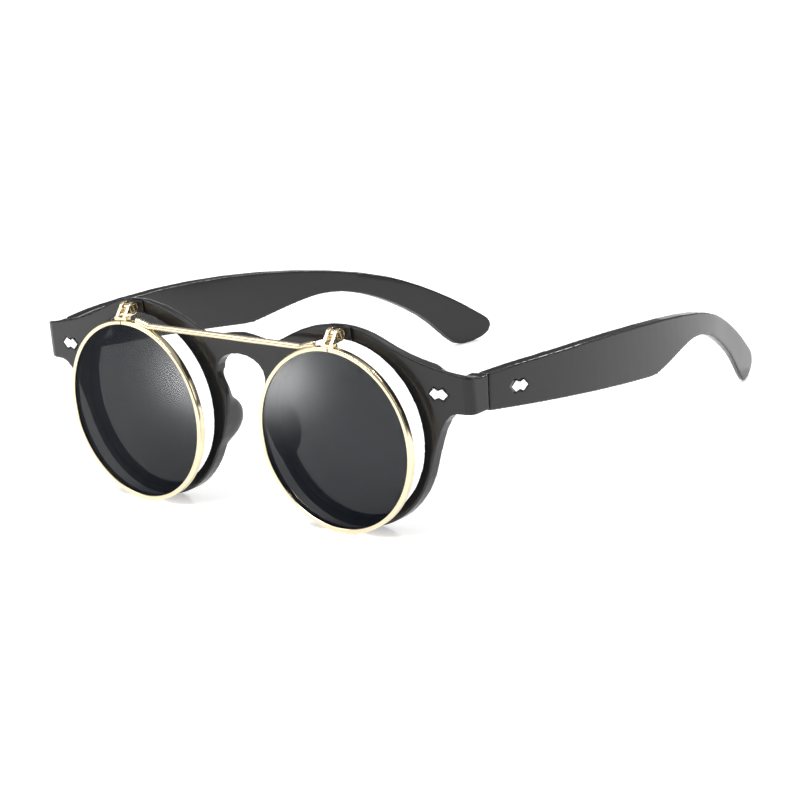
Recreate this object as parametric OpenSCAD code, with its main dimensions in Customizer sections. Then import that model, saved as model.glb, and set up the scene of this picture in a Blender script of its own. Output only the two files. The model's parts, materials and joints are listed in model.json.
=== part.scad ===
// Flip up sunglasses: matte black front with keyhole bridge, two folding temples, and a
// gold wire flip part with round dark lenses on two small hinges at the brow.
// Millimetres. +Z up from the table, the front faces -Y, +X is the wearer's left.

/* [Front frame] */
// Distance from the middle of the bridge to the centre of each eye opening
eye_x = 36.1; // [35.4:0.1:36.8]
// Radius of each eye opening
opening_r = 24.2; // [23.7:0.1:24.5]
// Width of the rim around and below each opening
rim_w = 2.7; // [2.4:0.1:3.2]
// Height of the brow above each opening
brow_h = 4; // [3.9:0.1:4.6]
// Thickness of the front, face to back
front_t = 3.6; // [3.4:0.1:4.2]
// Radius of the gentle curve of the front, seen from above
front_curve_r = 735; // [600:5:1200]
// Gap between the back of the flip rings and the front, at the middle
flip_gap = 3.3; // [3.2:0.1:3.9]
// Height of the top of the bridge above the centres of the openings
bridge_up = 22.2; // [21.4:0.1:23]
// Width of the keyhole at its widest
keyhole_w = 17.4; // [16:0.1:18.4]
// Width of the neck under the keyhole
neck_w = 12.6; // [11.6:0.1:13.6]
// Height of the top of the keyhole above the centres of the openings
keyhole_up = 16.7; // [15.8:0.1:17.4]
// How far the nose pads stand out behind the front
pad_out = 5.2; // [4.5:0.1:6.5]
// Outward slant of the nose pads, seen from above, in degrees
pad_slant = 12; // [6:0.5:15]

/* [End pieces] */
// Half the width of the front
half_w = 76.6; // [75.8:0.1:78]
// Height of the end pieces at the front
end_h = 9.9; // [9.6:0.1:10.4]
// Height of the lower edge of the end pieces above the table
end_z = 33.9; // [33.4:0.1:34.4]
// Depth from the front of the flip rings to the temple joint
joint_y = 16.4; // [16:0.1:17.2]
// Width of the block that carries the temple joint
block_w = 5.4; // [5:0.1:5.8]
// Lean of the joint face, in degrees
joint_lean = 5.5; // [3:0.5:8]
// Radius of the soft corner from front to side
corner_r = 2; // [1:0.1:2.6]

/* [Clear lenses] */
// Thickness of each clear lens
clear_t = 1.6; // [1.4:0.1:1.7]
// Depth of the groove that holds it
groove_d = 0.5; // [0.3:0.1:0.7]

/* [Flip rings and lenses] */
// Height of the lowest point of the rings above the table
ring_lift = 0.2; // [0.1:0.1:0.5]
// How much smaller in radius each ring is inside than the eye opening
ring_inset = 0.2; // [0.1:0.05:0.5]
// Width of the ring, seen from the front
ring_w = 1.2; // [1.1:0.05:1.3]
// Depth of the ring, front to back
ring_t = 2; // [1.9:0.1:2.2]
// Thickness of each dark lens
flip_lens_t = 1.3; // [1:0.1:1.4]
// Depth of the groove in the ring
ring_groove_d = 0.45; // [0.3:0.05:0.5]
// Turn of each ring and lens about its upright line, in degrees
face_form = 2.8; // [2:0.1:3.2]
// Width of the closing split at the top of each ring
split_w = 0.3; // [0.2:0.05:0.5]

/* [Flip bar] */
// Diameter of the wire bar
bar_d = 1.7; // [1.4:0.05:1.8]
// How far each end of the bar stops short of the middle of its ring
bar_short = 3.5; // [3.2:0.1:4.3]
// How far the bar lies below the top of the rings, middle to edge
bar_sink = 0.9; // [0.7:0.05:1.1]
// How far the middle of the bent ends lies outside the rings
bar_seat = 0.55; // [0.4:0.05:0.65]

/* [Flip hinges] */
// Distance of each flip hinge outwards from the middle of its ring
hinge_off = 1.3; // [0.9:0.1:1.9]
// Height of the hinge axis above the top of the ring
hinge_up = 2.6; // [2.55:0.05:2.8]
// Radius of the ears
ear_r = 1.75; // [1.65:0.05:1.85]
// Thickness of each ear
ear_t = 1.1; // [0.95:0.05:1.2]
// Width of the middle knuckle
knuckle_t = 1.5; // [1.3:0.05:1.7]
// Radius of the hinge screw
flip_pin_r = 0.55; // [0.5:0.05:0.65]
// Radius of the hinge screw's head
flip_head_r = 1.15; // [1:0.05:1.2]
// Radius of the sunk seat round that head
flip_bore_r = 1.4; // [1.25:0.05:1.45]
// Thickness of the black plate in front of the brow
plate_out = 0.5; // [0.35:0.05:0.7]
// Width of the black plate
plate_w = 6.8; // [5.6:0.1:7]
// Height of the black plate
plate_h = 3.3; // [3:0.1:3.4]
// Width of the clevis foot on the ring
foot_w = 4.4; // [4:0.1:4.7]
// Radius of the closing screw in the foot
rim_screw_r = 0.35; // [0.3:0.05:0.4]

/* [Rivets] */
// Distance from the side of the front to the middle of each front rivet
rivet_edge = 9.9; // [9.4:0.1:10.4]
// Height of the rivets above the lower edge of the end pieces
rivet_up = 5.1; // [4.8:0.1:5.4]
// Distance from the temple joint to each temple rivet
rivet_back = 10.5; // [10.2:0.1:11.5]
// Width of the double diamond
rivet_w = 6.6; // [5.8:0.1:6.8]
// Height of the double diamond
rivet_h = 3.3; // [2.8:0.1:3.6]
// How far the rivets stand proud
rivet_out = 0.2; // [0.1:0.05:0.3]
// Radius of the rivet pins
rivet_pin_r = 0.55; // [0.4:0.05:0.65]

/* [Temple hinges] */
// Radius of the hinge barrels
barrel_r = 1.6; // [1.5:0.05:1.65]
// Height of the whole hinge
barrel_h = 7.4; // [7:0.1:7.6]
// Radius of the temple screw
temple_pin_r = 0.7; // [0.6:0.05:0.8]
// Radius of the temple screw's head
temple_head_r = 1.2; // [1.1:0.05:1.25]
// Thickness of the hinge leaves
leaf_t = 0.8; // [0.7:0.05:0.9]

/* [Temples] */
// Length of each temple, front to back
temple_len = 145.1; // [138:0.1:152]
// Thickness of each temple
temple_t = 3.6; // [3.2:0.1:4]
// Height of each temple at its joint
temple_h = 9.2; // [8.8:0.1:9.4]
// Depth of each temple at its widest
temple_wide_h = 14.3; // [13:0.1:15.5]
// Radius of the inward curve of each temple
bow_r = 215.4; // [205:0.2:260]
// Outward lean of each temple at its joint, in degrees
bow_lean = 8.5; // [5:0.1:9.5]
// Length of the straight part at the end of each temple
tip_len = 31.5; // [26:0.5:36]
// Height above the table of the top edge where the tip begins to drop
ear_z = 26; // [24.5:0.1:27.5]
// Depth of each temple at the narrow neck of the ear bend
neck_h = 7.5; // [6.5:0.1:8.5]
// Width of the dropped tip
tip_w = 11.5; // [10:0.1:12.5]

/* [Clearances] */
// Gap between temple and end piece
joint_gap = 0.3; // [0.25:0.05:0.4]
// Running clearance round a screw that something turns on
run_gap = 0.05; // [0.03:0.01:0.08]
// Clearance of a piece seated in its pocket
seat_gap = 0.03; // [0.02:0.01:0.05]

/* [Hidden] */
// How far a cutting shape runs past what it cuts
over = 1;
// The rims rest on the table
eye_z = opening_r + rim_w;
rim_or = opening_r + rim_w;
brow_r = opening_r + brow_h;
// Front face of the frame at the middle, and the middle of its curve
front_y = ring_t + flip_gap;
curve_y = front_y + front_curve_r;
// Depth of the front face at a distance x from the middle, and its turn there
function face_y(x) = curve_y - sqrt(front_curve_r * front_curve_r - x * x);
function face_turn(x) = asin(x / front_curve_r);
// Depth of the low dip beside the bridge
bridge_dip = 1.3;
dip_x = eye_x * 0.316;
// Keyhole: height of its widest place and of its neck above the eye centres
keyhole_wide_z = 10.9;
neck_z = 4.5;
// Nose pads: part of a ball behind the neck
pad_x = 10;
pad_z = eye_z - 3.6;
pad_y = front_y + front_t / 3;
pad_r = pad_out + front_t * 2 / 3;
// Lean of the pads' edge, seen from the front
pad_lean = 10;
// Flip part: each ring stands before its eye opening
ring_x = eye_x;
ring_r = opening_r - ring_inset;
ring_or = ring_r + ring_w;
ring_z = ring_or + ring_lift;
ring_mid = ring_t / 2;
// Height of the outside of a ring at a distance x from the middle
function ring_top(x) = ring_z + sqrt(ring_or * ring_or - (x - ring_x) * (x - ring_x));
// Flip hinge
hinge_x = ring_x + hinge_off;
ear_gap = 0.25;
plate_y = face_y(hinge_x) - plate_out;
axis_y = plate_y - ear_gap - ear_r;
axis_z = ring_top(hinge_x) + hinge_up;
slot_w = knuckle_t + 2 * run_gap;
clevis_w = 2 * ear_t + slot_w;
knuckle_r = ear_r - 0.15;
// Clear round under and behind the knuckle
knuckle_room = 0.35;
shank_h = 1.2;
shank_in = 2.6;
head_t = 0.45;
plate_in = 0.5;
plate_low = eye_z + opening_r + (brow_h - plate_h) / 2;
foot_top = ring_top(hinge_x) + 0.85;
foot_h = 2;
foot_in = 0.15;
screw_down = 0.35;
rim_head_h = 0.4;
rim_head_r = rim_screw_r + 0.1;
// Thickness of the solder between a ring and what sits on it
solder_gap = 0.08;
// Screw slots: width and depth
slot_cut = 0.28;
slot_deep = 0.2;
// Flip bar
bar_half = ring_x - bar_short;
bar_r = bar_d / 2;
bar_z = ring_z + ring_or - bar_sink;
bend_r = ring_or + bar_seat;
bend_dx = sqrt(bend_r * bend_r - (bar_z - ring_z) * (bar_z - ring_z));
bend_x = ring_x - bend_dx;
bend_from = acos((bar_half - bar_r - ring_x) / bend_r);
bend_to = acos(-bend_dx / bend_r);
// End pieces and joint
end_top = end_z + end_h;
joint_z = end_z + end_h / 2;
block_x = half_w - block_w;
// Plan of a temple: an arc that runs out into a straight tip
bow_x = half_w - bow_r * cos(bow_lean);
bow_y = joint_y + bow_r * sin(bow_lean);
function bow_at(y, r) = bow_x + sqrt(r * r - (y - bow_y) * (y - bow_y));
temple_end = joint_y + temple_len;
temple_step = 1.2;
temple_top = end_top - temple_step;
tip_y = temple_end - tip_len;
tip_turn = asin((tip_y - bow_y) / bow_r);
knee_z = temple_top - temple_wide_h - 5.1;
// Temple hinge
leaf_out = block_x - seat_gap;
hinge_back = joint_y + 2.2;
// How far the temple hinge sits below the middle of the joint face
hinge_low = 0.9;
barrel_z = joint_z - barrel_h / 2 - hinge_low;
mid_barrel_h = barrel_h * 0.36;
axial_gap = 0.08;
barrel_1 = barrel_z + (barrel_h - mid_barrel_h) / 2;
barrel_2 = barrel_1 + mid_barrel_h;
barrel_bit_h = barrel_1 - axial_gap - barrel_z;
// Gap between the hinge barrel and what turns past it, and margin of the leaves
leaf_gap = 0.5;
leaf_edge = 0.8;
bolt_head_in = 0.5;
bolt_head_t = 0.7;
bolt_short = 0.3;
// Rivets
rivet_x = half_w - rivet_edge;
rivet_z = end_z + rivet_up;
temple_rivet_z = rivet_z - 1.7;
temple_rivet_y = joint_y + rivet_back;
rivet_in = 0.8;
pin_step = rivet_w * 0.23;
rivet_tilt = 8;
// The whole object is centred on the origin, front to back
mid_y = (temple_end - ring_or * sin(face_form)) / 2;

// Points of a curve from a to d, pulled by b and c, without its last point
function curve(a, b, c, d, n) = [
    for (i = [0 : n - 1])
        let (t = i / n, s = 1 - t)
            a * s * s * s + b * 3 * s * s * t + c * 3 * s * t * t + d * t * t * t
];

// Point at an angle and radius round an eye opening, seen from the front
function round_eye(r, a) = [eye_x + r * cos(a), eye_z + r * sin(a)];

// Puts a piece modelled from the flip rings' front face into the object's frame
module placed() {
    translate([0, -mid_y, 0]) children();
}

// One side: 1 is the wearer's left, -1 the wearer's right
module on_side(side) {
    placed() mirror([side < 0 ? 1 : 0, 0, 0]) children();
}

// A round bar along X, centred on the origin
module cross_bar(r, h, n) {
    rotate([0, 90, 0]) cylinder(r = r, h = h, center = true, $fn = n);
}

// Outline of one half of the front, seen from the front
function half_outline() = concat(
    curve([0, eye_z + keyhole_up], [keyhole_w * 0.29, eye_z + keyhole_up],
        [keyhole_w / 2, eye_z + 14.3], [keyhole_w / 2, eye_z + keyhole_wide_z], 5),
    curve([keyhole_w / 2, eye_z + keyhole_wide_z], [keyhole_w / 2, eye_z + 8.1],
        [neck_w / 2, eye_z + 7.1], [neck_w / 2, eye_z + neck_z], 4),
    curve([neck_w / 2, eye_z + neck_z], [neck_w / 2, eye_z + 1.3],
        [neck_w / 2 + 0.9, eye_z - 5.9], round_eye(rim_or, 205), 5),
    [for (a = [205 : 5 : 335]) round_eye(rim_or, a)],
    curve(round_eye(rim_or, -20), round_eye(rim_or, -20) + 8 * [sin(20), cos(20)],
        [half_w - 9.6, end_z], [half_w - 5.1, end_z + 0.1], 6),
    [[half_w - 5.1, end_z + 0.1], [half_w, end_z], [half_w, end_top]],
    curve([half_w - 5.8, end_top + 1.1], [half_w - 13, end_top + 2.4],
        round_eye(brow_r, 64) + 9.4 * [sin(64), -cos(64)], round_eye(brow_r, 64), 6),
    [for (a = [64 : 6.2 : 90]) round_eye(brow_r, a)],
    curve(round_eye(brow_r, 95), round_eye(brow_r, 95) - 11.8 * [sin(95), -cos(95)],
        [dip_x + 4.2, eye_z + bridge_up - bridge_dip],
        [dip_x, eye_z + bridge_up - bridge_dip], 6),
    curve([dip_x, eye_z + bridge_up - bridge_dip],
        [dip_x * 0.66, eye_z + bridge_up - bridge_dip],
        [dip_x * 0.4, eye_z + bridge_up], [0, eye_z + bridge_up], 4),
    [[0, eye_z + bridge_up]]
);

module front_outline() {
    half = half_outline();
    polygon(concat(half, [for (i = [len(half) - 2 : -1 : 1]) [-half[i][0], half[i][1]]]));
}

// The front seen from above: a curved band, with a block for each temple joint
module front_plan() {
    corner_y = face_y(half_w) + corner_r;
    block_from = face_y(half_w) + front_t / 3;
    intersection() {
        union() {
            difference() {
                translate([0, curve_y]) circle(r = front_curve_r, $fn = 720);
                translate([0, curve_y]) circle(r = front_curve_r - front_t, $fn = 720);
            }
            for (x = [-half_w, block_x])
                translate([x, block_from]) square([block_w, joint_y + 2 - block_from]);
        }
        union() {
            translate([corner_r - half_w, 0]) square([2 * (half_w - corner_r), joint_y + 4]);
            translate([-half_w, corner_y]) square([2 * half_w, joint_y]);
            for (s = [-1, 1]) translate([s * (half_w - corner_r), corner_y]) circle(r = corner_r, $fn = 48);
        }
    }
}

// Everything centred on an eye opening faces along its own line
module at_eye() {
    translate([eye_x, face_y(eye_x) + front_t / 2, eye_z]) rotate([0, 0, face_turn(eye_x)])
        rotate([90, 0, 0]) children();
}

module nose_pad() {
    difference() {
        intersection() {
            translate([0, front_y + 30, 0]) rotate([90, 0, 0]) linear_extrude(28) front_outline();
            translate([pad_x, pad_y, pad_z]) sphere(r = pad_r, $fn = 64);
        }
        pad_cut();
    }
}

// Slanted face of a nose pad, from the front edge of the neck outwards
module pad_cut() {
    translate([neck_w / 2, front_y, eye_z + neck_z]) rotate([0, pad_lean, -pad_slant])
        translate([-30, -2, -24]) cube([30, 30, 26]);
}

// Double diamond, outline of the rivets
module double_diamond(grow) {
    w = rivet_w / 2 + grow * 1.3;
    h = rivet_h / 2 + grow * 1.3;
    polygon([
        [-w, 0], [-w * 0.46, -h], [0, -h * 0.62], [w * 0.46, -h],
        [w, 0], [w * 0.46, h], [0, h * 0.62], [-w * 0.46, h]
    ]);
}

// A rivet: plaque and two pins; depth is how far the pins reach from the face
module rivet(grow, depth) {
    rotate([90, 0, 0]) {
        translate([0, 0, -rivet_in - grow]) linear_extrude(rivet_in + grow + rivet_out)
            double_diamond(grow);
        for (s = [-1, 1]) translate([s * pin_step, 0, -depth])
            cylinder(r = rivet_pin_r + grow, h = depth - rivet_in / 2, $fn = 32);
    }
}

module at_front_rivet() {
    translate([rivet_x, face_y(rivet_x), rivet_z]) rotate([0, 0, face_turn(rivet_x)]) children();
}

module at_temple_rivet() {
    turn = asin((temple_rivet_y - bow_y) / bow_r);
    translate([bow_at(temple_rivet_y, bow_r), temple_rivet_y, temple_rivet_z])
        rotate([0, 0, 90 + turn]) rotate([0, rivet_tilt, 0]) children();
}

// The shank of a hinge knuckle and its way through plate and front
module shank_way(from_y, to_y, gap) {
    translate([hinge_x - knuckle_t / 2 - gap, from_y, axis_z - shank_h / 2 - gap])
        cube([knuckle_t + 2 * gap, to_y - from_y, shank_h + 2 * gap]);
}

module front_frame() {
    color([0.13, 0.13, 0.135])
    placed() difference() {
        union() {
            intersection() {
                translate([0, joint_y + 5, 0]) rotate([90, 0, 0])
                    linear_extrude(joint_y + 5) front_outline();
                linear_extrude(eye_z * 3) front_plan();
            }
            for (m = [0, 1]) mirror([m, 0, 0]) nose_pad();
        }
        for (m = [0, 1]) mirror([m, 0, 0]) {
            at_eye() cylinder(r = opening_r, h = 60, center = true, $fn = 120);
            at_eye() cylinder(
                r = opening_r + groove_d + seat_gap, h = clear_t + 2 * seat_gap, center = true, $fn = 120);
            // Joint face
            translate([block_x - over, joint_y, joint_z]) rotate([-joint_lean, 0, 0])
                translate([0, 0, -20]) cube([block_w + 10, 20, 40]);
            // Pockets of hinge plate and knuckle shank
            translate([hinge_x - plate_w / 2 - seat_gap, plate_y, plate_low - seat_gap])
                cube([plate_w + 2 * seat_gap, plate_out + plate_in + seat_gap, plate_h + 2 * seat_gap]);
            shank_way(plate_y, face_y(hinge_x) + shank_in + seat_gap, seat_gap);
            at_front_rivet() rivet(seat_gap, front_t * 3);
        }
    }
}

module clear_lens(side) {
    color([0.85, 0.92, 0.95, 0.3])
    on_side(side) at_eye()
        cylinder(r = opening_r + groove_d, h = clear_t, center = true, $fn = 120);
}
module clear_lens_left() clear_lens(1);
module clear_lens_right() clear_lens(-1);

module hinge_plate(side) {
    color([0.08, 0.08, 0.08])
    on_side(side) difference() {
        translate([hinge_x - plate_w / 2, plate_y, plate_low])
            cube([plate_w, plate_out + plate_in, plate_h]);
        shank_way(plate_y - over, plate_y + plate_out + plate_in + over, seat_gap);
    }
}
module hinge_plate_left() hinge_plate(1);
module hinge_plate_right() hinge_plate(-1);

module hinge_knuckle(side) {
    color([0.85, 0.72, 0.45])
    on_side(side) difference() {
        union() {
            translate([hinge_x, axis_y, axis_z]) cross_bar(knuckle_r, knuckle_t, 48);
            shank_way(axis_y, face_y(hinge_x) + shank_in, 0);
        }
        translate([hinge_x, axis_y, axis_z]) cross_bar(flip_pin_r + run_gap, knuckle_t * 2, 48);
    }
}
module hinge_knuckle_left() hinge_knuckle(1);
module hinge_knuckle_right() hinge_knuckle(-1);

module front_rivet(side) {
    color([0.9, 0.9, 0.9])
    on_side(side) at_front_rivet() rivet(0, front_t + leaf_t + 2 * seat_gap);
}
module front_rivet_left() front_rivet(1);
module front_rivet_right() front_rivet(-1);

// Part of a thin band behind the front, seen from above
module leaf_band() {
    back_r = front_curve_r - front_t - seat_gap;
    from_x = rivet_x - rivet_w / 2 - leaf_edge;
    intersection() {
        difference() {
            translate([0, curve_y]) circle(r = back_r, $fn = 720);
            translate([0, curve_y]) circle(r = back_r - leaf_t, $fn = 720);
        }
        translate([from_x, 0]) square([leaf_out - from_x, joint_y + 4]);
    }
}

module front_leaf(side) {
    arm_y = face_y(leaf_out) + front_t + seat_gap;
    arm_end = hinge_back - barrel_r - leaf_gap;
    color([0.72, 0.72, 0.74])
    on_side(side) difference() {
        union() {
            translate([0, 0, barrel_z]) linear_extrude(barrel_h) leaf_band();
            translate([leaf_out - leaf_t, arm_y, barrel_z])
                cube([leaf_t, arm_end - arm_y, barrel_h]);
            for (z = [barrel_z, barrel_2 + axial_gap]) {
                translate([leaf_out - leaf_t, arm_y, z])
                    cube([leaf_t, hinge_back - barrel_r / 2 - arm_y, barrel_bit_h]);
                translate([block_x, hinge_back, z])
                    cylinder(r = barrel_r, h = barrel_bit_h, $fn = 48);
            }
        }
        translate([block_x, hinge_back, barrel_z - over])
            cylinder(r = temple_pin_r + seat_gap, h = barrel_h + 2 * over, $fn = 48);
        translate([block_x, hinge_back, barrel_z + barrel_h - bolt_head_in])
            cylinder(r = temple_head_r + seat_gap, h = 2 * over, $fn = 48);
        at_front_rivet() rivet(seat_gap, front_t * 3);
    }
}
module front_leaf_left() front_leaf(1);
module front_leaf_right() front_leaf(-1);

module temple_screw(side) {
    head_z = barrel_z + barrel_h - bolt_head_in + seat_gap;
    color([0.75, 0.75, 0.77])
    on_side(side) translate([block_x, hinge_back, 0]) difference() {
        union() {
            translate([0, 0, barrel_z]) cylinder(r = temple_pin_r, h = barrel_h - bolt_short, $fn = 48);
            translate([0, 0, head_z]) cylinder(r = temple_head_r, h = bolt_head_t, $fn = 48);
        }
        translate([-2, -slot_cut / 2, head_z + bolt_head_t - slot_deep]) cube([4, slot_cut, 2]);
    }
}
module temple_screw_left() temple_screw(1);
module temple_screw_right() temple_screw(-1);

// A flip ring's own line, for what is round about it
module at_ring() {
    translate([ring_x, 0, ring_z]) rotate([0, 0, face_form]) rotate([-90, 0, 0]) children();
}

// What the ring takes away from the pieces that are soldered to it
module ring_room() {
    at_ring() translate([0, 0, -2]) cylinder(r = ring_or + solder_gap, h = ring_t + 4, $fn = 120);
}

module flip_rim(side) {
    color([0.87, 0.75, 0.48])
    on_side(side) difference() {
        at_ring() cylinder(r = ring_or, h = ring_t, $fn = 120);
        at_ring() translate([0, 0, -over]) cylinder(r = ring_r, h = ring_t + 2 * over, $fn = 120);
        at_ring() translate([0, 0, (ring_t - flip_lens_t) / 2 - seat_gap])
            cylinder(r = ring_r + ring_groove_d + seat_gap, h = flip_lens_t + 2 * seat_gap, $fn = 120);
        translate([hinge_x - split_w / 2, -2, ring_z]) cube([split_w, ring_t + 4, ring_or + over]);
    }
}
module flip_rim_left() flip_rim(1);
module flip_rim_right() flip_rim(-1);

module flip_lens(side) {
    color([0.1, 0.1, 0.12, 0.6])
    on_side(side) at_ring() translate([0, 0, (ring_t - flip_lens_t) / 2])
        cylinder(r = ring_r + ring_groove_d, h = flip_lens_t, $fn = 120);
}
module flip_lens_left() flip_lens(1);
module flip_lens_right() flip_lens(-1);

// Straight wire between the rings, its ends bent up to follow them
module flip_bar() {
    color([0.87, 0.75, 0.48])
    placed() difference() {
        union() {
            translate([0, ring_mid, bar_z]) cross_bar(bar_r, 2 * bend_x, 48);
            for (m = [0, 1]) mirror([m, 0, 0]) {
                translate([bend_x, ring_mid, bar_z]) sphere(r = bar_r, $fn = 48);
                translate([ring_x, ring_mid, ring_z]) rotate([90, 0, 0]) {
                    rotate([0, 0, bend_from]) rotate_extrude(angle = bend_to - bend_from, $fn = 180)
                        translate([bend_r, 0]) circle(r = bar_r, $fn = 48);
                    rotate([0, 0, bend_from]) translate([bend_r, 0, 0]) rotate([90, 0, 0])
                        sphere(r = bar_r, $fn = 48);
                }
            }
        }
        for (m = [0, 1]) mirror([m, 0, 0]) ring_room();
    }
}

// Side view of the clevis: ear and leaning leg
module clevis_side() {
    leg_back = ring_t - 0.1;
    translate([axis_y, axis_z]) circle(r = ear_r, $fn = 48);
    polygon([
        [axis_y - ear_r * 0.92, axis_z + ear_r * 0.39],
        [axis_y + ear_r * 0.45, axis_z - ear_r * 0.89],
        [leg_back, foot_top - 0.1],
        [leg_back, foot_top - foot_h],
        [foot_in, foot_top - foot_h],
        [foot_in, foot_top]
    ]);
}

module flip_clevis(side) {
    color([0.87, 0.75, 0.48])
    on_side(side) difference() {
        union() {
            translate([hinge_x - clevis_w / 2, 0, 0]) rotate([90, 0, 90])
                linear_extrude(clevis_w) clevis_side();
            translate([hinge_x - foot_w / 2, foot_in, foot_top - foot_h])
                cube([foot_w, ring_t - foot_in - 0.1, foot_h]);
        }
        translate([hinge_x - slot_w / 2, -over, foot_top]) cube([slot_w, 12, 10]);
        translate([hinge_x - slot_w / 2, axis_y - knuckle_r - knuckle_room, foot_top - 0.5])
            cube([slot_w, 12, 10]);
        translate([hinge_x, axis_y, axis_z]) cross_bar(flip_pin_r + seat_gap, clevis_w * 2, 48);
        translate([hinge_x + side * (clevis_w / 2 - head_t / 2 + 0.05), axis_y, axis_z])
            cross_bar(flip_bore_r, head_t + 0.1, 48);
        translate([hinge_x, ring_mid, foot_top - screw_down])
            cross_bar(rim_screw_r + seat_gap, foot_w * 2, 32);
        ring_room();
    }
}
module flip_clevis_left() flip_clevis(1);
module flip_clevis_right() flip_clevis(-1);

// Closing screw of the ring, with its head towards the wearer's left on both sides
module rim_screw(side) {
    head_at = hinge_x + side * (foot_w / 2 + seat_gap + rim_head_h / 2);
    color([0.7, 0.58, 0.36])
    on_side(side) translate([0, ring_mid, foot_top - screw_down]) {
        translate([hinge_x, 0, 0]) cross_bar(rim_screw_r, foot_w + 0.2, 32);
        translate([head_at, 0, 0]) cross_bar(rim_head_r, rim_head_h, 32);
    }
}
module rim_screw_left() rim_screw(1);
module rim_screw_right() rim_screw(-1);

// Hinge screw, with its slotted head in the ear towards the wearer's left on both sides
module flip_screw(side) {
    color([0.8, 0.68, 0.42])
    on_side(side) translate([hinge_x, axis_y, axis_z]) difference() {
        union() {
            cross_bar(flip_pin_r, clevis_w - 0.1, 48);
            translate([side * (clevis_w / 2 - head_t / 2), 0, 0])
                cross_bar(flip_head_r, head_t - 2 * seat_gap, 48);
        }
        translate([side * clevis_w / 2, 0, 0]) rotate([20, 0, 0])
            cube([2 * slot_deep, slot_cut, 4], center = true);
    }
}
module flip_screw_left() flip_screw(1);
module flip_screw_right() flip_screw(-1);

// Side view of a temple, as depth and height; e counts forward from the far end
function back_at(e, z) = [temple_end - e, z];
function temple_outline() = concat(
    curve([joint_y - 3, temple_top], [joint_y + 38.6, temple_top + 1.3],
        back_at(52, ear_z + 10), back_at(30, ear_z), 10),
    curve(back_at(30, ear_z), back_at(21.5, ear_z - 3.9), back_at(11, 15.4), back_at(4, 9.2), 6),
    curve(back_at(4, 9.2), back_at(1.9, 7.4), back_at(0, 6.4), back_at(0, 4.2), 4),
    curve(back_at(0, 4.2), back_at(0, 1.4), back_at(4.3, 0), back_at(9, 0), 4),
    curve(back_at(9, 0), back_at(tip_w + 0.1, 0),
        back_at(tip_w + 2.8, 4.4), back_at(tip_w + 6.5, 8.6), 4),
    curve(back_at(tip_w + 6.5, 8.6), back_at(tip_w + 10.7, 13.4),
        back_at(31.1, ear_z + 0.9 - neck_h), back_at(37.1, ear_z + 3.6 - neck_h), 5),
    curve(back_at(37.1, ear_z + 3.6 - neck_h), back_at(42.8, ear_z + 6.2 - neck_h),
        back_at(47.5, ear_z + 7.4 - neck_h), back_at(52.5, ear_z + 7.4 - neck_h), 4),
    curve(back_at(52.5, ear_z + 7.4 - neck_h), back_at(59, ear_z + 7.4 - neck_h),
        back_at(68.5, knee_z + 0.7), back_at(75.5, knee_z), 6),
    [
        back_at(75.5, knee_z),
        back_at(79, knee_z + 0.3),
        [joint_y, temple_top - temple_h],
        [joint_y - 3, temple_top - temple_h + 0.4]
    ]
);

// A temple seen from above: the band between an outer and an inner line
module bow_plan(inset, t) {
    translate([bow_x, bow_y]) {
        difference() {
            circle(r = bow_r - inset, $fn = 720);
            circle(r = bow_r - inset - t, $fn = 720);
            rotate(tip_turn) translate([0, 0]) square([bow_r * 2, bow_r * 2]);
            translate([-bow_r * 2, -bow_r * 2]) square([bow_r * 2, bow_r * 4]);
        }
        rotate(tip_turn) translate([bow_r - inset - t, -0.01]) square([t, tip_len * 1.6]);
    }
}

module temple(side) {
    color([0.14, 0.14, 0.145])
    on_side(side) difference() {
        intersection() {
            translate([20, 0, 0]) rotate([90, 0, 90]) linear_extrude(80) polygon(temple_outline());
            translate([0, 0, -over]) linear_extrude(60) bow_plan(0, temple_t);
        }
        // Joint face
        translate([0, joint_y + joint_gap / cos(joint_lean), joint_z]) rotate([-joint_lean, 0, 0])
            translate([0, -30, -40]) cube([half_w + 20, 30, 80]);
        at_temple_rivet() rivet(seat_gap, temple_t * 3);
    }
}
module temple_left() temple(1);
module temple_right() temple(-1);

module temple_leaf(side) {
    inset = temple_t + seat_gap;
    leaf_y = hinge_back + barrel_r + leaf_gap + 0.1;
    web_from = block_x + temple_pin_r;
    web_to = bow_at(hinge_back, bow_r - inset) - 0.35;
    color([0.72, 0.72, 0.74])
    on_side(side) difference() {
        union() {
            intersection() {
                translate([0, 0, barrel_z]) linear_extrude(barrel_h - 1) bow_plan(inset, leaf_t);
                translate([40, leaf_y, 0])
                    cube([60, temple_rivet_y + rivet_w / 2 + leaf_edge - leaf_y, 60]);
            }
            translate([web_from, hinge_back, barrel_1])
                cube([web_to - web_from, leaf_y - hinge_back + over, mid_barrel_h]);
            translate([block_x, hinge_back, barrel_1])
                cylinder(r = barrel_r, h = mid_barrel_h, $fn = 48);
        }
        translate([block_x, hinge_back, barrel_1 - over])
            cylinder(r = temple_pin_r + run_gap, h = mid_barrel_h + 2 * over, $fn = 48);
        at_temple_rivet() rivet(seat_gap, temple_t * 3);
    }
}
module temple_leaf_left() temple_leaf(1);
module temple_leaf_right() temple_leaf(-1);

module temple_rivet(side) {
    color([0.9, 0.9, 0.9])
    on_side(side) at_temple_rivet() rivet(0, temple_t + leaf_t + 2 * seat_gap);
}
module temple_rivet_left() temple_rivet(1);
module temple_rivet_right() temple_rivet(-1);

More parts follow.
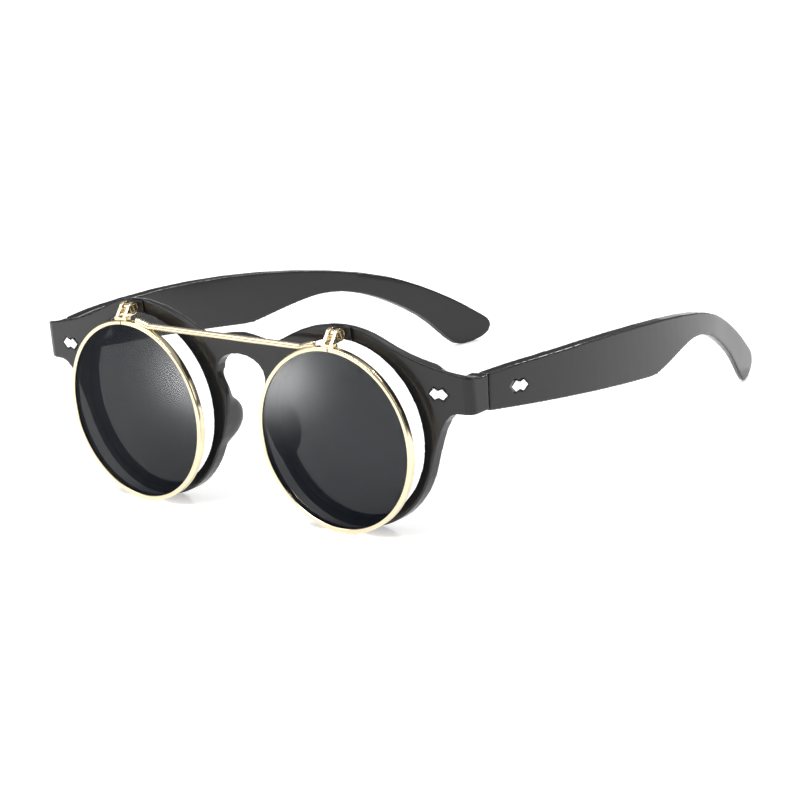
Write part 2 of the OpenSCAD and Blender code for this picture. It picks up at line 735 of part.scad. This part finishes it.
front_frame();
clear_lens_left();
clear_lens_right();
hinge_plate_left();
hinge_plate_right();
hinge_knuckle_left();
hinge_knuckle_right();
front_rivet_left();
front_rivet_right();
front_leaf_left();
front_leaf_right();
temple_screw_left();
temple_screw_right();
flip_rim_left();
flip_rim_right();
flip_lens_left();
flip_lens_right();
flip_bar();
flip_clevis_left();
flip_clevis_right();
rim_screw_left();
rim_screw_right();
flip_screw_left();
flip_screw_right();
temple_left();
temple_right();
temple_leaf_left();
temple_leaf_right();
temple_rivet_left();
temple_rivet_right();
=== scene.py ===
"""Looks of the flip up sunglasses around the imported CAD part: rounded pieces, materials, stage and camera."""
import json
import math

import bmesh
import bpy
import numpy as np
from mathutils import Matrix, Vector

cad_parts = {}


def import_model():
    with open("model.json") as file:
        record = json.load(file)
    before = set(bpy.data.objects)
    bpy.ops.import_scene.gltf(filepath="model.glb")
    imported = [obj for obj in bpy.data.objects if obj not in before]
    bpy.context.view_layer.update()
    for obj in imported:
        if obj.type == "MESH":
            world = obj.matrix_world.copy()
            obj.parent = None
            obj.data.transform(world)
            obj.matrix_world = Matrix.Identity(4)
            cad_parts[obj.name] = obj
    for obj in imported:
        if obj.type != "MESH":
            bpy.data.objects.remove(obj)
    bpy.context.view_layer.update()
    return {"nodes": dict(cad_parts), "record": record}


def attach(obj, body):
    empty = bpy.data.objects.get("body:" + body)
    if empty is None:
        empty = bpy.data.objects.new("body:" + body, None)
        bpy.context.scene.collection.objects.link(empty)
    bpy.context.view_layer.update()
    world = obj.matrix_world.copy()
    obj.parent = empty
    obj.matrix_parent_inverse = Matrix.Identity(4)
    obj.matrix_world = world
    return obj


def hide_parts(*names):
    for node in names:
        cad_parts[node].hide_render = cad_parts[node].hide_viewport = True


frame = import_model()

MM = 0.001
SIDES = ("left", "right")

# Sizes repeated from part.scad, in millimetres. There y is 0 at the front of a
# flip ring's middle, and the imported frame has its 0 MID_Y further back.
MID_Y = 80.1345
EYE_X, EYE_Z, OPENING_R = 36.1, 26.9, 24.2
BROW_H = 4.0
FRONT_Y, FRONT_T, FRONT_CURVE = 5.3, 3.6, 735.0
RING_X, RING_Z, RING_R, RING_OR, RING_T = 36.1, 25.4, 24.0, 25.2, 2.0
FACE_FORM = math.radians(2.8)
LENS_T, GROOVE_D = 1.3, 0.45
HINGE_X, SPLIT_W = 37.4, 0.3
HALF_W, JOINT_Y, TEMPLE_LEN, TIP_LEN = 76.6, 16.4, 145.1, 31.5
BOW_R, BOW_LEAN = 215.4, math.radians(8.5)
TEMPLE_END = JOINT_Y + TEMPLE_LEN
BOW_X = HALF_W - BOW_R * math.cos(BOW_LEAN)
BOW_Y = JOINT_Y + BOW_R * math.sin(BOW_LEAN)
TIP_TURN = math.asin((TEMPLE_END - TIP_LEN - BOW_Y) / BOW_R)

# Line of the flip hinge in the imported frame, and the size of its round ears
AXIS_Y, AXIS_Z, EAR_R = -76.382, 53.166, 1.75
EAR_MARGIN, SHANK_HALF_H, KNUCKLE_SHRINK = 0.3, 0.75, 0.8

# The brow's top falls by BROW_FALL at the back. The fall starts BROW_SKIN
# outside an opening, where the way up from its middle is steeper than BROW_SINE.
FACE_X_MAX = 76
BROW_FALL, BROW_SKIN, BROW_SINE, BROW_SINE_RUN = 1.0, 0.5, 0.35, 0.5

# An end piece's top: its height at the outer end and at the back, how much
# higher it is END_IN inwards from the outer end, and where its fall fades in
END_TOP, END_BACK_TOP, END_LOW, END_DEEP = 43.8, 43.0, 36.0, 6.0
END_IN, END_RISE = (0, 5.8, 13.0), (0, 1.1, 2.4)
END_X, END_X_RUN = 64, 5

# The box of the nose pads, behind the front's own face by PAD_BACK
PAD_X, PAD_Z, PAD_BACK = (3, 11.5), (12, 38), 1.6

# A temple thins to TIP_THIN of itself along its last stretch, and its top is
# JOINT_LIFT higher where it meets the end piece
TIP_ZONE, TIP_THIN, TIP_THIN_FROM, TIP_THIN_RUN = 40, 0.5, 50, 42
JOINT_LIFT, JOINT_LIFT_RUN = 0.6, 30

# A rivet's plaque, from its face to RIVET_IN deep, is smaller than its seat
RIVET_IN, RIVET_SHRINK = 1.1, 0.89

# Roundings and mesh counts of the flip part
RING_SOFT, RING_SOFT_STEPS, RING_INNER_SOFT, RING_STEPS = 0.36, 6, 0.12, 240
GROOVE_PLAY = 0.02
DOME_R, GLASS_PLAY, GLASS_THINNER, GLASS_RINGS, GLASS_STEPS = 300.0, 0.03, 0.1, 16, 128
SHARP_ANGLE = math.radians(40)

# How the photograph was taken: degrees, pixels and millimetres
CAM_AZ, CAM_EL, CAM_ROLL = 42.60, 16.09, -6.23
CAM_FOCAL_PX, CAM_DIST, PHOTO_PX = 4126.98, 1045.9, 800
CAM_TARGET = (60.86, -MID_Y, 39.24)
CAM_SENSOR, CAM_CLIP = 36.0, (0.05, 20)

# The dark lenses reflect little of the white room, and a soft card shows in
# them: its place and radius in metres, its strength, and how it is stretched
LENS_IOR, LENS_ALPHA = 1.13, 0.805
CARD_PLACE, CARD_R, CARD_GLOW, CARD_SIDES = (-0.13, -0.23, 0.001), 0.041, 205.0, 48
CARD_TURN, CARD_STRETCH = math.radians(48), 2.8

# The white floor and room
FLOOR_HALF, FLOOR_WHITE, FLOOR_GLOW = 6.0, 0.9, 0.45
ROOM_STRENGTH = 0.55

# The part of a noise texture's range that the colours and roughness use
NOISE_LOW, NOISE_HIGH = 0.3, 0.7


# ---------------------------------------------------------------- materials
def new_material(name):
    m = bpy.data.materials.new(name)
    m.use_nodes = True
    nt = m.node_tree
    return m, nt, nt.nodes["Principled BSDF"]


def empty_tree(block, output):
    """A material's or world's node tree with nothing in it but its output."""
    block.use_nodes = True
    nt = block.node_tree
    nt.nodes.clear()
    return nt, nt.nodes.new(output)


def math_node(nt, operation):
    n = nt.nodes.new("ShaderNodeMath")
    n.operation = operation
    return n


def add_noise(nt, scale, detail):
    tc = nt.nodes.new("ShaderNodeTexCoord")
    n = nt.nodes.new("ShaderNodeTexNoise")
    n.inputs["Scale"].default_value = scale
    n.inputs["Detail"].default_value = detail
    nt.links.new(tc.outputs["Object"], n.inputs["Vector"])
    return n.outputs["Fac"]


def ramp(nt, source, stops):
    r = nt.nodes.new("ShaderNodeValToRGB")
    while len(r.color_ramp.elements) < len(stops):
        r.color_ramp.elements.new(0.5)
    for e, (pos, colour) in zip(r.color_ramp.elements, stops):
        e.position = pos
        e.color = (*colour, 1.0)
    nt.links.new(source, r.inputs["Fac"])
    return r.outputs["Color"]


def add_colour(nt, bsdf, noise, low, high):
    """Base colour that wanders between two tones with the noise."""
    tone = ramp(nt, noise, [(NOISE_LOW, low), (NOISE_HIGH, high)])
    nt.links.new(tone, bsdf.inputs["Base Color"])


def add_roughness(nt, bsdf, noise, low, high):
    """Roughness that wanders between two values with the noise."""
    r = nt.nodes.new("ShaderNodeMapRange")
    r.inputs["From Min"].default_value = NOISE_LOW
    r.inputs["From Max"].default_value = NOISE_HIGH
    r.inputs["To Min"].default_value = low
    r.inputs["To Max"].default_value = high
    nt.links.new(noise, r.inputs["Value"])
    nt.links.new(r.outputs["Result"], bsdf.inputs["Roughness"])


def add_bump(nt, bsdf, noise, strength, distance):
    b = nt.nodes.new("ShaderNodeBump")
    b.inputs["Strength"].default_value = strength
    b.inputs["Distance"].default_value = distance
    nt.links.new(noise, b.inputs["Height"])
    nt.links.new(b.outputs["Normal"], bsdf.inputs["Normal"])


def black_plastic():
    """Injection moulded black plastic with a fine matte grain, faint handling marks and a thin sheen."""
    m, nt, b = new_material("black_plastic")
    grain = add_noise(nt, 4200, 3)
    marks = add_noise(nt, 45, 4)
    add_colour(nt, b, marks, (0.0072, 0.0072, 0.0076), (0.0102, 0.0102, 0.0107))
    add_roughness(nt, b, marks, 0.40, 0.47)
    b.inputs["IOR"].default_value = 1.31
    b.inputs["Coat Weight"].default_value = 0.5
    b.inputs["Coat Roughness"].default_value = 0.11
    add_bump(nt, b, grain, 0.10, 0.00003)
    return m


def gold():
    """Pale polished gold plating."""
    m, nt, b = new_material("gold")
    cloud = add_noise(nt, 120, 3)
    fine = add_noise(nt, 3500, 2)
    add_colour(nt, b, cloud, (0.86, 0.74, 0.50), (0.90, 0.79, 0.56))
    b.inputs["Metallic"].default_value = 1.0
    add_roughness(nt, b, cloud, 0.13, 0.20)
    add_bump(nt, b, fine, 0.04, 0.00001)
    return m


def metal(name, colour, rough, scale):
    """Plain metal, a little uneven in tone and in roughness."""
    m, nt, b = new_material(name)
    noise = add_noise(nt, scale, 3)
    add_colour(nt, b, noise, tuple(c * 0.94 for c in colour), colour)
    b.inputs["Metallic"].default_value = 1.0
    add_roughness(nt, b, noise, rough, rough + 0.08)
    return m


def black_plate():
    """Smooth black plate behind a flip hinge."""
    m, nt, b = new_material("black_plate")
    noise = add_noise(nt, 900, 3)
    add_colour(nt, b, noise, (0.008, 0.008, 0.008), (0.012, 0.012, 0.012))
    add_roughness(nt, b, noise, 0.28, 0.36)
    return m


def dark_glass():
    """Dark grey lens with a soft sheen: a little light comes through."""
    m, nt, b = new_material("dark_glass")
    haze = add_noise(nt, 30, 3)
    add_colour(nt, b, haze, (0.0012, 0.0030, 0.0068), (0.0016, 0.0038, 0.0084))
    add_roughness(nt, b, haze, 0.21, 0.24)
    b.inputs["IOR"].default_value = LENS_IOR
    b.inputs["Alpha"].default_value = LENS_ALPHA
    return m


def clear_glass():
    """Clear lens: only its reflections show, stronger at a flat angle."""
    m, nt, b = new_material("clear_glass")
    smear = add_noise(nt, 25, 3)
    add_colour(nt, b, smear, (0.90, 0.93, 0.94), (0.96, 0.98, 0.98))
    b.inputs["Metallic"].default_value = 1.0
    b.inputs["Roughness"].default_value = 0.03
    facing = nt.nodes.new("ShaderNodeLayerWeight")
    facing.inputs["Blend"].default_value = 0.5
    steep = math_node(nt, "POWER")
    steep.inputs[1].default_value = 4.0
    nt.links.new(facing.outputs["Facing"], steep.inputs[0])
    cover = nt.nodes.new("ShaderNodeMapRange")
    cover.inputs["To Min"].default_value = 0.03
    cover.inputs["To Max"].default_value = 0.85
    nt.links.new(steep.outputs[0], cover.inputs["Value"])
    nt.links.new(cover.outputs["Result"], b.inputs["Alpha"])
    return m


MATERIALS = {
    "black_plastic": black_plastic(),
    "gold": gold(),
    "gold_screw": metal("gold_screw", (0.84, 0.70, 0.44), 0.16, 1500),
    "black_plate": black_plate(),
    "silver": metal("silver", (0.93, 0.93, 0.93), 0.22, 1200),
    "steel": metal("steel", (0.62, 0.62, 0.64), 0.28, 1800),
    "dark_glass": dark_glass(),
    "clear_glass": clear_glass(),
}
SLOT_OF = {s["node"]: s["material_slot"] for s in frame["record"]["subparts"]}
BODY_OF = {n: b for b, ns in frame["record"]["behaviour"]["bodies"].items() for n in ns}


# ------------------------------------------------------------------- pieces
def link(obj):
    bpy.context.scene.collection.objects.link(obj)
    return obj


def take_over(obj, node):
    """obj stands for a CAD node: same body, same slot, finished material."""
    obj.data.materials.clear()
    obj.data.materials.append(MATERIALS[SLOT_OF[node]])
    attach(obj, BODY_OF[node])
    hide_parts(node)
    return obj


def points(mesh):
    """A mesh's points as rows, in metres."""
    co = np.empty(len(mesh.vertices) * 3)
    mesh.vertices.foreach_get("co", co)
    return co.reshape(-1, 3)


def smooth_modifier(obj, rounds):
    m = obj.modifiers.new("smooth", "SMOOTH")
    m.factor = 0.5
    m.iterations = rounds
    return m


def apply_modifiers(obj):
    dg = bpy.context.evaluated_depsgraph_get()
    mesh = bpy.data.meshes.new_from_object(obj.evaluated_get(dg))
    obj.modifiers.clear()
    obj.data = mesh
    return mesh


def soften(node, name, voxel, rounds, shape=None, melt=None, melt_rounds=0):
    """A copy of a CAD node with its edges rounded off; melt picks points to smooth more, shape moves points (mm)."""
    obj = link(bpy.data.objects.new(name, frame["nodes"][node].data.copy()))
    weld = obj.modifiers.new("weld", "WELD")
    weld.merge_threshold = 1e-6
    rem = obj.modifiers.new("remesh", "REMESH")
    rem.mode = "VOXEL"
    rem.voxel_size = voxel * MM
    rem.use_smooth_shade = True
    smooth_modifier(obj, rounds)
    mesh = apply_modifiers(obj)
    if melt is not None:
        zone = obj.vertex_groups.new(name="melt")
        zone.add(np.flatnonzero(melt(points(mesh) / MM)).tolist(), 1.0, "REPLACE")
        smooth_modifier(obj, melt_rounds).vertex_group = zone.name
        mesh = apply_modifiers(obj)
        obj.vertex_groups.clear()
    mesh.name = name
    if shape is not None:
        mesh.vertices.foreach_set("co", (shape(points(mesh) / MM) * MM).ravel())
    mesh.polygons.foreach_set("use_smooth", [True] * len(mesh.polygons))
    mesh.update()
    return take_over(obj, node)


def smooth_step(x):
    x = np.clip(x, 0, 1)
    return x * x * (3 - 2 * x)


def face_depth(p):
    """How far points lie behind the front's curved outer face."""
    x = np.minimum(np.abs(p[:, 0]), FACE_X_MAX)
    return p[:, 1] - (FRONT_Y + FRONT_CURVE - np.sqrt(FRONT_CURVE ** 2 - x * x) - MID_Y)


def shape_front(p):
    """The tops of the brow and of the end pieces fall away towards the back."""
    q = p.copy()
    x = np.abs(p[:, 0])
    behind = face_depth(p)
    dx, dz = x - EYE_X, p[:, 2] - EYE_Z
    r = np.hypot(dx, dz)
    out = smooth_step((r - OPENING_R - BROW_SKIN) / (BROW_H - BROW_SKIN))
    top = smooth_step((dz / np.maximum(r, 1) - BROW_SINE) / BROW_SINE_RUN)
    q[:, 2] -= BROW_FALL * np.clip(behind / FRONT_T, 0, 1) ** 2 * out * top
    end_top = END_TOP + np.interp(HALF_W - x, END_IN, END_RISE)
    high = np.clip((p[:, 2] - END_LOW) / (end_top - END_LOW), 0, 1)
    at_end = smooth_step((x - END_X) / END_X_RUN)
    q[:, 2] -= (end_top - END_BACK_TOP) * smooth_step(behind / END_DEEP) * high * at_end
    return q


def nose_pads(p):
    """Points of the nose pads behind the front, which flow into the keyhole."""
    x, y, z = np.abs(p[:, 0]), p[:, 1] + MID_Y, p[:, 2]
    return (x > PAD_X[0]) & (x < PAD_X[1]) & (z > PAD_Z[0]) & (z < PAD_Z[1]) & (y > FRONT_Y + PAD_BACK)


def temple_inset(p):
    """Distance of points from a temple's outer face, and that face's own direction."""
    x, y = np.abs(p[:, 0]) - BOW_X, p[:, 1] + MID_Y - BOW_Y
    turn = np.minimum(np.arctan2(y, x), TIP_TURN)
    out = np.stack([np.cos(turn), np.sin(turn)], 1)
    return BOW_R - (x * out[:, 0] + y * out[:, 1]), out


def temple_tip(p):
    """Points of a temple's dropped end."""
    return p[:, 1] > TEMPLE_END - MID_Y - TIP_ZONE


def shape_temple(p):
    """A temple gets thinner towards its end, from the inside, and its top meets the end piece."""
    q = p.copy()
    y = p[:, 1] + MID_Y
    inset, out = temple_inset(p)
    move = inset * TIP_THIN * smooth_step((y - TEMPLE_END + TIP_THIN_FROM) / TIP_THIN_RUN)
    q[:, 0] += np.sign(p[:, 0]) * move * out[:, 0]
    q[:, 1] += move * out[:, 1]
    near = smooth_step(1 - (y - JOINT_Y) / JOINT_LIFT_RUN)
    q[:, 2] += JOINT_LIFT * near * np.clip((p[:, 2] - END_LOW) / (END_TOP - END_LOW), 0, 1)
    return q


def shrink_rivet(p):
    """A rivet's plaque is a little smaller than its seat, which shows as a dark outline."""
    q = p.copy()
    low, high = p.min(0), p.max(0)
    wide = 0 if high[0] - low[0] > high[1] - low[1] else 1
    deep = 1 - wide
    face = low[1] if wide == 0 else (high[0] if high[0] > 0 else low[0])
    near = np.abs(p[:, deep] - face) < RIVET_IN
    for axis in (wide, 2):
        mid = (low[axis] + high[axis]) / 2
        q[near, axis] = mid + (p[near, axis] - mid) * RIVET_SHRINK
    return q


def small_knuckle(p):
    """The knuckle stays a little inside the ears' outline; its shank keeps its size."""
    q = p.copy()
    y, z = p[:, 1] - AXIS_Y, p[:, 2] - AXIS_Z
    eye = (np.hypot(y, z) < EAR_R) & ~((y > 0) & (np.abs(z) < SHANK_HALF_H))
    q[eye, 1] = AXIS_Y + y[eye] * KNUCKLE_SHRINK
    q[eye, 2] = AXIS_Z + z[eye] * KNUCKLE_SHRINK
    return q


def hinge_ears(p):
    """Points of the flip hinge's ears and knuckle, which are round all over."""
    return np.hypot(p[:, 1] - AXIS_Y, p[:, 2] - AXIS_Z) < EAR_R + EAR_MARGIN


soften("front_frame", "front", 0.25, 8, shape_front, nose_pads, 400)
for side in SIDES:
    soften("temple_" + side, "temple_arm_" + side, 0.25, 8, shape_temple, temple_tip, 40)
    soften("hinge_plate_" + side, "brow_plate_" + side, 0.08, 3)
    soften("hinge_knuckle_" + side, "middle_knuckle_" + side, 0.05, 3, small_knuckle, hinge_ears, 12)
    soften("flip_clevis_" + side, "gold_clevis_" + side, 0.05, 4, None, hinge_ears, 22)
    soften("flip_screw_" + side, "slotted_screw_" + side, 0.05, 2)
    soften("front_rivet_" + side, "end_rivet_" + side, 0.06, 3, shrink_rivet)
    soften("temple_rivet_" + side, "arm_rivet_" + side, 0.06, 3, shrink_rivet)


def flip_point(side, r, a, depth):
    """A point of the flip part in metres: from a ring's middle at radius r and angle a, depth behind its front."""
    mirror = 1 if side == "left" else -1
    c, sn = math.cos(FACE_FORM), math.sin(FACE_FORM)
    x, z = r * math.cos(a), r * math.sin(a)
    px, py = RING_X + x * c - depth * sn, x * sn + depth * c
    return mirror * px * MM, (py - MID_Y) * MM, (RING_Z + z) * MM


def turned_piece(name, node, verts, faces):
    """A closed smooth piece from its points and faces, with its outside out."""
    mesh = bpy.data.meshes.new(name)
    mesh.from_pydata(verts, [], faces)
    bm = bmesh.new()
    bm.from_mesh(mesh)
    bmesh.ops.recalc_face_normals(bm, faces=bm.faces)
    bm.to_mesh(mesh)
    bm.free()
    mesh.polygons.foreach_set("use_smooth", [True] * len(mesh.polygons))
    obj = link(bpy.data.objects.new(name, mesh))
    mesh.set_sharp_from_angle(angle=SHARP_ANGLE)
    return take_over(obj, node)


def ring_profile():
    """Section of a flip ring in mm: distance from the centre and depth, with the lens groove."""
    pts = []
    for depth, start in ((RING_SOFT, -90), (RING_T - RING_SOFT, 0)):
        for i in range(RING_SOFT_STEPS + 1):
            a = math.radians(start + 90 * i / RING_SOFT_STEPS)
            pts.append((RING_OR - RING_SOFT + RING_SOFT * math.cos(a), depth + RING_SOFT * math.sin(a)))
    g0, g1 = (RING_T - LENS_T) / 2 - GROOVE_PLAY, (RING_T + LENS_T) / 2 + GROOVE_PLAY
    groove_r = RING_R + GROOVE_D
    return pts + [
        (RING_R + RING_INNER_SOFT, RING_T), (RING_R, RING_T - RING_INNER_SOFT),
        (RING_R, g1), (groove_r, g1), (groove_r, g0), (RING_R, g0),
        (RING_R, RING_INNER_SOFT), (RING_R + RING_INNER_SOFT, 0),
    ]


def flip_ring(side):
    """Turned ring with a closing split at the top."""
    profile = ring_profile()
    k, n = len(profile), RING_STEPS
    half_split = math.degrees(SPLIT_W / 2 / RING_R)
    split = 90 - math.degrees(math.asin((HINGE_X - RING_X) / RING_R))
    verts, faces = [], []
    for i in range(n + 1):
        a = math.radians(split + half_split + (360 - 2 * half_split) * i / n)
        verts += [flip_point(side, r, a, d) for r, d in profile]
    for i in range(n):
        for j in range(k):
            a, b = i * k + j, i * k + (j + 1) % k
            faces.append((a, b, b + k, a + k))
    faces += [tuple(range(k)), tuple(range(n * k, n * k + k))]
    return turned_piece("gold_ring_" + side, "flip_rim_" + side, verts, faces)


def flip_glass(side):
    """Slightly domed round lens seated in the groove of its ring."""
    edge, thick, n = RING_R + GROOVE_D - GLASS_PLAY, LENS_T - GLASS_THINNER, GLASS_STEPS
    verts, faces = [], []
    for skin in (-thick / 2, thick / 2):
        for k in range(GLASS_RINGS + 1):
            r = edge * k / GLASS_RINGS
            depth = RING_T / 2 - (edge * edge - r * r) / (2 * DOME_R) + skin
            for i in range(n if k else 1):
                verts.append(flip_point(side, r, 2 * math.pi * i / n, depth))
    per_skin = 1 + GLASS_RINGS * n
    rim = per_skin - n
    for i in range(n):
        j = (i + 1) % n
        for base in (0, per_skin):
            faces.append((base, base + 1 + i, base + 1 + j))
            for k in range(GLASS_RINGS - 1):
                a, b = base + 1 + k * n, base + 1 + (k + 1) * n
                faces.append((a + i, b + i, b + j, a + j))
        faces.append((rim + i, per_skin + rim + i, per_skin + rim + j, rim + j))
    return turned_piece("dark_lens_" + side, "flip_lens_" + side, verts, faces)


dark_lenses = []
for side in SIDES:
    flip_ring(side)
    dark_lenses.append(flip_glass(side))

for name, obj in frame["nodes"].items():
    m = MATERIALS[SLOT_OF[name]]
    if obj.material_slots:
        for ms in obj.material_slots:
            ms.material = m
    else:
        obj.data.materials.append(m)


# -------------------------------------------------------------------- stage
def light(name, size, power, place, target=(0, -0.03, 0.03)):
    d = bpy.data.lights.new(name, "AREA")
    d.shape = "RECTANGLE"
    d.size, d.size_y = size
    d.energy = power
    o = link(bpy.data.objects.new(name, d))
    o.location = place
    o.rotation_mode = "QUATERNION"
    o.rotation_quaternion = (Vector(target) - Vector(place)).to_track_quat("-Z", "Y")


light("overhead", (1.0, 0.15), 6.5, (-0.22, -0.5, 0.9))
light("front_left", (0.7, 0.9), 4.0, (-0.9, -0.9, 0.8))
light("right_side", (0.2, 0.3), 0.29, (0.42, 0.12, 0.22), (0.075, 0.03, 0.03))
light("behind", (0.8, 0.15), 10.0, (0.1, 1.1, 1.0))


def either_ray(nt, *kinds):
    """1 for a ray of one of the named kinds, otherwise 0."""
    path = nt.nodes.new("ShaderNodeLightPath")
    found = path.outputs[kinds[0]]
    for kind in kinds[1:]:
        larger = math_node(nt, "MAXIMUM")
        nt.links.new(found, larger.inputs[0])
        nt.links.new(path.outputs[kind], larger.inputs[1])
        found = larger.outputs[0]
    return found


def add_shaders(nt, first, second, output):
    both = nt.nodes.new("ShaderNodeAddShader")
    nt.links.new(first.outputs[0], both.inputs[0])
    nt.links.new(second.outputs[0], both.inputs[1])
    nt.links.new(both.outputs[0], output.inputs["Surface"])


def lens_card():
    """Soft oval card before the glasses that shows only as the pale bloom on the dark lenses."""
    turns = [2 * math.pi * i / CARD_SIDES for i in range(CARD_SIDES)]
    mesh = bpy.data.meshes.new("lens_card")
    mesh.from_pydata([(CARD_R * math.cos(a), CARD_R * math.sin(a), 0) for a in turns], [], [tuple(range(CARD_SIDES))])
    obj = link(bpy.data.objects.new("lens_card", mesh))
    obj.location = CARD_PLACE
    obj.rotation_euler = (0, 0, CARD_TURN)
    obj.scale = (CARD_STRETCH, 1, 1)
    m = bpy.data.materials.new("card_glow")
    nt, out = empty_tree(m, "ShaderNodeOutputMaterial")
    tc = nt.nodes.new("ShaderNodeTexCoord")
    far = nt.nodes.new("ShaderNodeVectorMath")
    far.operation = "LENGTH"
    nt.links.new(tc.outputs["Object"], far.inputs[0])
    fade = nt.nodes.new("ShaderNodeMapRange")
    fade.interpolation_type = "SMOOTHSTEP"
    fade.inputs["From Max"].default_value = CARD_R
    fade.inputs["To Min"].default_value = 1.0
    fade.inputs["To Max"].default_value = 0.0
    nt.links.new(far.outputs["Value"], fade.inputs["Value"])
    # The strength is a plain number, so that the renderer knows how bright the card is
    glow = nt.nodes.new("ShaderNodeEmission")
    glow.inputs["Strength"].default_value = CARD_GLOW
    nt.links.new(fade.outputs["Result"], glow.inputs["Color"])
    add_shaders(nt, glow, nt.nodes.new("ShaderNodeBsdfTransparent"), out)
    mesh.materials.append(m)
    obj.visible_camera = False
    obj.visible_diffuse = False
    obj.visible_transmission = False
    obj.visible_shadow = False
    shown_in = bpy.data.collections.new("dark_lenses")
    for lens in dark_lenses:
        shown_in.objects.link(lens)
    obj.light_linking.receiver_collection = shown_in


def floor():
    """White floor that keeps the shadow; its glow shows only to the camera and in gloss and glass."""
    h = FLOOR_HALF
    mesh = bpy.data.meshes.new("floor")
    mesh.from_pydata([(-h, -h, 0), (h, -h, 0), (h, h, 0), (-h, h, 0)], [], [(0, 1, 2, 3)])
    obj = link(bpy.data.objects.new("floor", mesh))
    m = bpy.data.materials.new("floor_white")
    nt, out = empty_tree(m, "ShaderNodeOutputMaterial")
    paint = nt.nodes.new("ShaderNodeBsdfDiffuse")
    paint.inputs["Color"].default_value = (FLOOR_WHITE, FLOOR_WHITE, FLOOR_WHITE, 1)
    amount = math_node(nt, "MULTIPLY")
    amount.inputs[1].default_value = FLOOR_GLOW
    nt.links.new(either_ray(nt, "Is Camera Ray", "Is Glossy Ray", "Is Transmission Ray"), amount.inputs[0])
    glow = nt.nodes.new("ShaderNodeEmission")
    nt.links.new(amount.outputs[0], glow.inputs["Strength"])
    add_shaders(nt, paint, glow, out)
    mesh.materials.append(m)


def world():
    """A soft room, darkest a little above the floor, before a white background."""
    w = bpy.data.worlds.new("studio")
    bpy.context.scene.world = w
    nt, out = empty_tree(w, "ShaderNodeOutputWorld")
    tc = nt.nodes.new("ShaderNodeTexCoord")
    sep = nt.nodes.new("ShaderNodeSeparateXYZ")
    nt.links.new(tc.outputs["Generated"], sep.inputs[0])
    stops = [(0.0, (0.25, 0.25, 0.25)), (0.25, (0.16, 0.16, 0.165)), (0.6, (0.75, 0.75, 0.76))]
    room = nt.nodes.new("ShaderNodeBackground")
    room.inputs["Strength"].default_value = ROOM_STRENGTH
    nt.links.new(ramp(nt, sep.outputs["Z"], stops), room.inputs["Color"])
    white = nt.nodes.new("ShaderNodeBackground")
    white.inputs["Color"].default_value = (1, 1, 1, 1)
    white.inputs["Strength"].default_value = 1.0
    mix = nt.nodes.new("ShaderNodeMixShader")
    nt.links.new(either_ray(nt, "Is Camera Ray"), mix.inputs["Fac"])
    nt.links.new(room.outputs[0], mix.inputs[1])
    nt.links.new(white.outputs[0], mix.inputs[2])
    nt.links.new(mix.outputs[0], out.inputs["Surface"])


lens_card()
floor()
world()


# ------------------------------------------------------------------- camera
def camera():
    az, el, roll = (math.radians(v) for v in (CAM_AZ, CAM_EL, CAM_ROLL))
    back = Vector((math.sin(az) * math.cos(el), -math.cos(az) * math.cos(el), math.sin(el)))
    level = Vector((0, 0, 1)).cross(back).normalized()
    upright = back.cross(level)
    right = math.cos(roll) * level + math.sin(roll) * upright
    up = math.cos(roll) * upright - math.sin(roll) * level
    d = bpy.data.cameras.new("camera")
    d.sensor_width = CAM_SENSOR
    d.lens = CAM_FOCAL_PX / PHOTO_PX * CAM_SENSOR
    d.clip_start, d.clip_end = CAM_CLIP
    o = link(bpy.data.objects.new("camera", d))
    place = (Vector(CAM_TARGET) + back * CAM_DIST) * MM
    o.matrix_world = Matrix.Translation(place) @ Matrix((right, up, back)).transposed().to_4x4()
    bpy.context.scene.camera = o


camera()
bpy.context.scene.view_settings.view_transform = "Standard"
